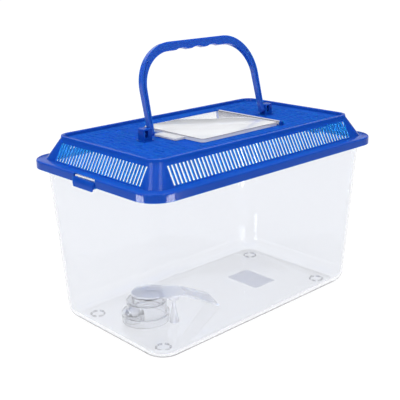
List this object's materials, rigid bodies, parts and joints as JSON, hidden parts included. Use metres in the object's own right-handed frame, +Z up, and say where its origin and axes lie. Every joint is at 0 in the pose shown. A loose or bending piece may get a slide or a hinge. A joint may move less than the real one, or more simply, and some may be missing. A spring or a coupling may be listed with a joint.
{
  "type": "plastic pet keeper",
  "caption": "Clear tapered tank with a louvred carrying lid, a hinged feeding door, a folding handle with finger grips and a loose basking island inside.",
  "frame": {"origin": "on the table, under the middle of the tank", "axes": "+X along the length, towards the feeding door's hinge; +Y across the width, towards the side the raised handle leans to; +Z up"},
  "size_m": [0.3048, 0.183, 0.2633],
  "materials": {
    "tank": "clear moulded polystyrene, glossy",
    "label": "matt paper-like film, plain",
    "lid": "moulded blue plastic, satin gloss",
    "door": "clear moulded polystyrene, glossy",
    "handle": "moulded blue plastic, satin gloss",
    "island": "clear moulded polystyrene, glossy"
  },
  "bodies": {
    "tank": {"tank": "tank", "base_label": "label"},
    "lid": {"lid": "lid"},
    "door": {"feeding_door": "door"},
    "handle": {"handle": "handle"},
    "island": {"island_base": "island", "island_ramp": "island"}
  },
  "joints": [
    {"name": "lid_lift", "type": "slide", "parent": "tank", "child": "lid", "axis": [0, 0, 1], "range_m": [0, 0.06]},
    {"name": "door_hinge", "type": "hinge", "parent": "lid", "child": "door", "pos_m": [0.0515, -0.003, 0.1822], "axis": [0, 1, 0], "range_deg": [0, 41]},
    {"name": "handle_pivot", "type": "hinge", "parent": "lid", "child": "handle", "pos_m": [0, 0, 0.186], "axis": [1, 0, 0], "range_deg": [-75, 103]},
    {"name": "island_lift", "type": "slide", "parent": "tank", "child": "island", "axis": [0, 0, 1], "range_m": [0, 0.12]}
  ]
}
